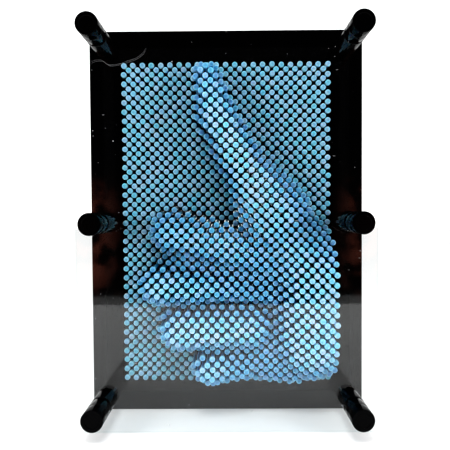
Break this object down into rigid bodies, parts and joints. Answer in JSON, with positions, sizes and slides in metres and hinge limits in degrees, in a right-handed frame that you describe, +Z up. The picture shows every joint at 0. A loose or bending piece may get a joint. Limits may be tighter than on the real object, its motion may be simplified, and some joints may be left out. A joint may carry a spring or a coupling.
{
  "type": "pin art impression toy",
  "caption": "Standing frame of clear cover and two black perforated plates on six posts, full of blue sliding pins that hold a thumbs-up hand impression.",
  "frame": {"origin": "centre of the depth and width, on the surface that the plates' bottom edges stand on", "axes": "+Z up, -Y out of the clear cover towards the viewer, +X to the viewer's right"},
  "size_m": [0.15, 0.087, 0.21],
  "materials": {
    "clear_acrylic": "clear polished acrylic sheet, lightly scratched",
    "black_acrylic": "glossy black sheet, drilled",
    "black_plastic": "glossy moulded black plastic",
    "steel": "zinc-plated steel",
    "blue_plastic": "slightly translucent moulded blue plastic"
  },
  "bodies": {
    "frame": {"clear_cover": "clear_acrylic", "front_pin_plate": "black_acrylic", "rear_pin_plate": "black_acrylic", "front_foot_cap_top_left": "black_plastic", "front_foot_cap_top_right": "black_plastic", "front_foot_cap_middle_left": "black_plastic", "front_foot_cap_middle_right": "black_plastic", "front_foot_cap_bottom_left": "black_plastic", "front_foot_cap_bottom_right": "black_plastic", "cover_spacer_top_left": "black_plastic", "cover_spacer_top_right": "black_plastic", "cover_spacer_middle_left": "black_plastic", "cover_spacer_middle_right": "black_plastic", "cover_spacer_bottom_left": "black_plastic", "cover_spacer_bottom_right": "black_plastic", "rear_leg_top_left": "black_plastic", "rear_leg_top_right": "black_plastic", "rear_leg_middle_left": "black_plastic", "rear_leg_middle_right": "black_plastic", "rear_leg_bottom_left": "black_plastic", "rear_leg_bottom_right": "black_plastic", "front_foot_collars": "black_plastic", "plate_spacers": "black_plastic", "rear_foot_collars": "black_plastic", "rear_foot_caps": "black_plastic", "tie_rods": "steel", "front_nuts": "steel", "rear_nuts": "steel"},
    "pins_field_top_left": {"pins_field_top_left": "blue_plastic"},
    "pins_field_top_right": {"pins_field_top_right": "blue_plastic"},
    "pins_field_upper_left": {"pins_field_upper_left": "blue_plastic"},
    "pins_field_upper_right": {"pins_field_upper_right": "blue_plastic"},
    "pins_field_lower_left": {"pins_field_lower_left": "blue_plastic"},
    "pins_field_lower_right": {"pins_field_lower_right": "blue_plastic"},
    "pins_field_bottom_left": {"pins_field_bottom_left": "blue_plastic"},
    "pins_thumb_low": {"pins_thumb_low": "blue_plastic"},
    "pins_thumb_mid": {"pins_thumb_mid": "blue_plastic"},
    "pins_thumb_high": {"pins_thumb_high": "blue_plastic"},
    "pins_thumb_crest": {"pins_thumb_crest": "blue_plastic"},
    "pins_index_low": {"pins_index_low": "blue_plastic"},
    "pins_index_mid": {"pins_index_mid": "blue_plastic"},
    "pins_index_high": {"pins_index_high": "blue_plastic"},
    "pins_index_crest": {"pins_index_crest": "blue_plastic"},
    "pins_middle_low": {"pins_middle_low": "blue_plastic"},
    "pins_middle_mid": {"pins_middle_mid": "blue_plastic"},
    "pins_middle_high": {"pins_middle_high": "blue_plastic"},
    "pins_middle_crest": {"pins_middle_crest": "blue_plastic"},
    "pins_ring_low": {"pins_ring_low": "blue_plastic"},
    "pins_ring_mid": {"pins_ring_mid": "blue_plastic"},
    "pins_ring_high": {"pins_ring_high": "blue_plastic"},
    "pins_ring_crest": {"pins_ring_crest": "blue_plastic"},
    "pins_little_low": {"pins_little_low": "blue_plastic"},
    "pins_little_mid": {"pins_little_mid": "blue_plastic"},
    "pins_little_high": {"pins_little_high": "blue_plastic"},
    "pins_little_crest": {"pins_little_crest": "blue_plastic"},
    "pins_palm_low": {"pins_palm_low": "blue_plastic"},
    "pins_palm_mid": {"pins_palm_mid": "blue_plastic"},
    "pins_palm_high": {"pins_palm_high": "blue_plastic"},
    "pins_palm_crest": {"pins_palm_crest": "blue_plastic"}
  },
  "joints": [
    {"name": "pins_field_top_left_slide", "type": "slide", "parent": "frame", "child": "pins_field_top_left", "axis": [0, -0.9984, -0.0558], "range_m": [0, 0.0255]},
    {"name": "pins_field_top_right_slide", "type": "slide", "parent": "frame", "child": "pins_field_top_right", "axis": [0, -0.9984, -0.0558], "range_m": [0, 0.0255]},
    {"name": "pins_field_upper_left_slide", "type": "slide", "parent": "frame", "child": "pins_field_upper_left", "axis": [0, -0.9984, -0.0558], "range_m": [0, 0.0255]},
    {"name": "pins_field_upper_right_slide", "type": "slide", "parent": "frame", "child": "pins_field_upper_right", "axis": [0, -0.9984, -0.0558], "range_m": [0, 0.0255]},
    {"name": "pins_field_lower_left_slide", "type": "slide", "parent": "frame", "child": "pins_field_lower_left", "axis": [0, -0.9984, -0.0558], "range_m": [0, 0.0255]},
    {"name": "pins_field_lower_right_slide", "type": "slide", "parent": "frame", "child": "pins_field_lower_right", "axis": [0, -0.9984, -0.0558], "range_m": [0, 0.0255]},
    {"name": "pins_field_bottom_left_slide", "type": "slide", "parent": "frame", "child": "pins_field_bottom_left", "axis": [0, -0.9984, -0.0558], "range_m": [0, 0.0255]},
    {"name": "pins_thumb_low_slide", "type": "slide", "parent": "frame", "child": "pins_thumb_low", "axis": [0, -0.9984, -0.0558], "range_m": [-0.00131, 0.01155]},
    {"name": "pins_thumb_mid_slide", "type": "slide", "parent": "frame", "child": "pins_thumb_mid", "axis": [0, -0.9984, -0.0558], "range_m": [-0.01418, 0.00759]},
    {"name": "pins_thumb_high_slide", "type": "slide", "parent": "frame", "child": "pins_thumb_high", "axis": [0, -0.9984, -0.0558], "range_m": [-0.018, 0.0035]},
    {"name": "pins_thumb_crest_slide", "type": "slide", "parent": "frame", "child": "pins_thumb_crest", "axis": [0, -0.9984, -0.0558], "range_m": [-0.02203, 0.00105]},
    {"name": "pins_index_low_slide", "type": "slide", "parent": "frame", "child": "pins_index_low", "axis": [0, -0.9984, -0.0558], "range_m": [-0.00807, 0.01175]},
    {"name": "pins_index_mid_slide", "type": "slide", "parent": "frame", "child": "pins_index_mid", "axis": [0, -0.9984, -0.0558], "range_m": [-0.01478, 0.00781]},
    {"name": "pins_index_high_slide", "type": "slide", "parent": "frame", "child": "pins_index_high", "axis": [0, -0.9984, -0.0558], "range_m": [-0.01802, 0.00354]},
    {"name": "pins_index_crest_slide", "type": "slide", "parent": "frame", "child": "pins_index_crest", "axis": [0, -0.9984, -0.0558], "range_m": [-0.022, 0.00321]},
    {"name": "pins_middle_low_slide", "type": "slide", "parent": "frame", "child": "pins_middle_low", "axis": [0, -0.9984, -0.0558], "range_m": [-0.00819, 0.01163]},
    {"name": "pins_middle_mid_slide", "type": "slide", "parent": "frame", "child": "pins_middle_mid", "axis": [0, -0.9984, -0.0558], "range_m": [-0.0141, 0.00764]},
    {"name": "pins_middle_high_slide", "type": "slide", "parent": "frame", "child": "pins_middle_high", "axis": [0, -0.9984, -0.0558], "range_m": [-0.01801, 0.00375]},
    {"name": "pins_middle_crest_slide", "type": "slide", "parent": "frame", "child": "pins_middle_crest", "axis": [0, -0.9984, -0.0558], "range_m": [-0.02203, 0.0011]},
    {"name": "pins_ring_low_slide", "type": "slide", "parent": "frame", "child": "pins_ring_low", "axis": [0, -0.9984, -0.0558], "range_m": [-0.00846, 0.01174]},
    {"name": "pins_ring_mid_slide", "type": "slide", "parent": "frame", "child": "pins_ring_mid", "axis": [0, -0.9984, -0.0558], "range_m": [-0.01471, 0.00762]},
    {"name": "pins_ring_high_slide", "type": "slide", "parent": "frame", "child": "pins_ring_high", "axis": [0, -0.9984, -0.0558], "range_m": [-0.01832, 0.00355]},
    {"name": "pins_ring_crest_slide", "type": "slide", "parent": "frame", "child": "pins_ring_crest", "axis": [0, -0.9984, -0.0558], "range_m": [-0.02212, 0.00114]},
    {"name": "pins_little_low_slide", "type": "slide", "parent": "frame", "child": "pins_little_low", "axis": [0, -0.9984, -0.0558], "range_m": [-0.00624, 0.01196]},
    {"name": "pins_little_mid_slide", "type": "slide", "parent": "frame", "child": "pins_little_mid", "axis": [0, -0.9984, -0.0558], "range_m": [-0.01444, 0.0075]},
    {"name": "pins_little_high_slide", "type": "slide", "parent": "frame", "child": "pins_little_high", "axis": [0, -0.9984, -0.0558], "range_m": [-0.018, 0.00364]},
    {"name": "pins_little_crest_slide", "type": "slide", "parent": "frame", "child": "pins_little_crest", "axis": [0, -0.9984, -0.0558], "range_m": [-0.02223, 0.00149]},
    {"name": "pins_palm_low_slide", "type": "slide", "parent": "frame", "child": "pins_palm_low", "axis": [0, -0.9984, -0.0558], "range_m": [-0.00252, 0.01166]},
    {"name": "pins_palm_mid_slide", "type": "slide", "parent": "frame", "child": "pins_palm_mid", "axis": [0, -0.9984, -0.0558], "range_m": [-0.01402, 0.00759]},
    {"name": "pins_palm_high_slide", "type": "slide", "parent": "frame", "child": "pins_palm_high", "axis": [0, -0.9984, -0.0558], "range_m": [-0.01805, 0.00353]},
    {"name": "pins_palm_crest_slide", "type": "slide", "parent": "frame", "child": "pins_palm_crest", "axis": [0, -0.9984, -0.0558], "range_m": [-0.022, 0]}
  ]
}
